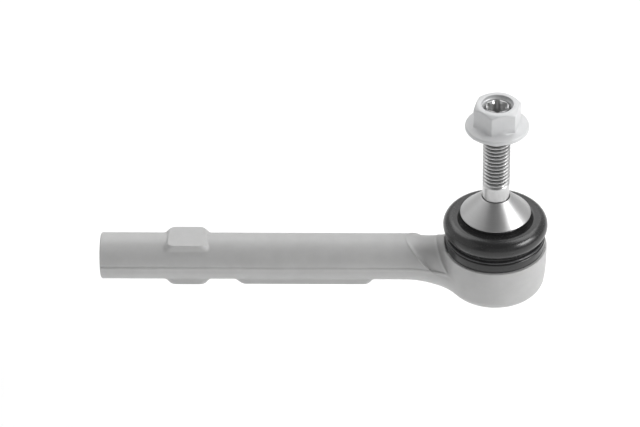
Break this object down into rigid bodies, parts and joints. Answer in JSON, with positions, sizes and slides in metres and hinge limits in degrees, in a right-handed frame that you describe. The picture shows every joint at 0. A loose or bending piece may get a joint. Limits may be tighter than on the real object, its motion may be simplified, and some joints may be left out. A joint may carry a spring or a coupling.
{
  "type": "tie rod end",
  "caption": "Outer tie rod end: forged arm with a threaded open end, ball joint housing, rubber dust boot, ball stud with a cone seat, and a flange nut.",
  "frame": {"origin": "centre of the ball, where the stud's axis and the arm's axis cross", "axes": "+Z along the stud towards its nut, -X along the arm towards its open threaded end, at rest with the stud square to the arm"},
  "size_m": [0.1899, 0.0442, 0.0933],
  "materials": {
    "forging": "satin, blasted forging with a fine parting line",
    "cap_steel": "pressed steel, satin",
    "spring_rubber": "matte",
    "bearing_plastic": "moulded acetal",
    "stud_steel": "zinc flake coated, satin",
    "turned_steel": "bright fine turning",
    "boot_rubber": "moulded, slight sheen",
    "clamp_steel": "blackened spring wire",
    "nut_zinc": "zinc flake, pale and satin"
  },
  "bodies": {
    "housing": {"housing_arm": "forging", "closing_cap": "cap_steel", "preload_ring": "spring_rubber", "boot_lower_clamp": "clamp_steel"},
    "swing": {"bearing_shell": "bearing_plastic", "dust_boot": "boot_rubber"},
    "lean": {"boot_upper_ring": "clamp_steel"},
    "stud": {"ball_stud": "stud_steel", "cone_collar": "turned_steel"},
    "nut": {"flange_nut": "nut_zinc"}
  },
  "joints": [
    {"name": "tilt_direction", "type": "hinge", "parent": "housing", "child": "swing", "pos_m": [0, 0, 0], "axis": [0, 0, 1], "continuous": true},
    {"name": "stud_tilt", "type": "hinge", "parent": "swing", "child": "lean", "pos_m": [0, 0, 0], "axis": [0, 1, 0], "range_deg": [-25, 25], "deforming": ["dust_boot"]},
    {"name": "stud_spin", "type": "hinge", "parent": "lean", "child": "stud", "pos_m": [0, 0, 0], "axis": [0, 0, 1], "continuous": true},
    {"name": "nut_turn", "type": "hinge", "parent": "stud", "child": "nut", "pos_m": [0, 0, 0], "axis": [0, 0, 1], "continuous": true}
  ]
}
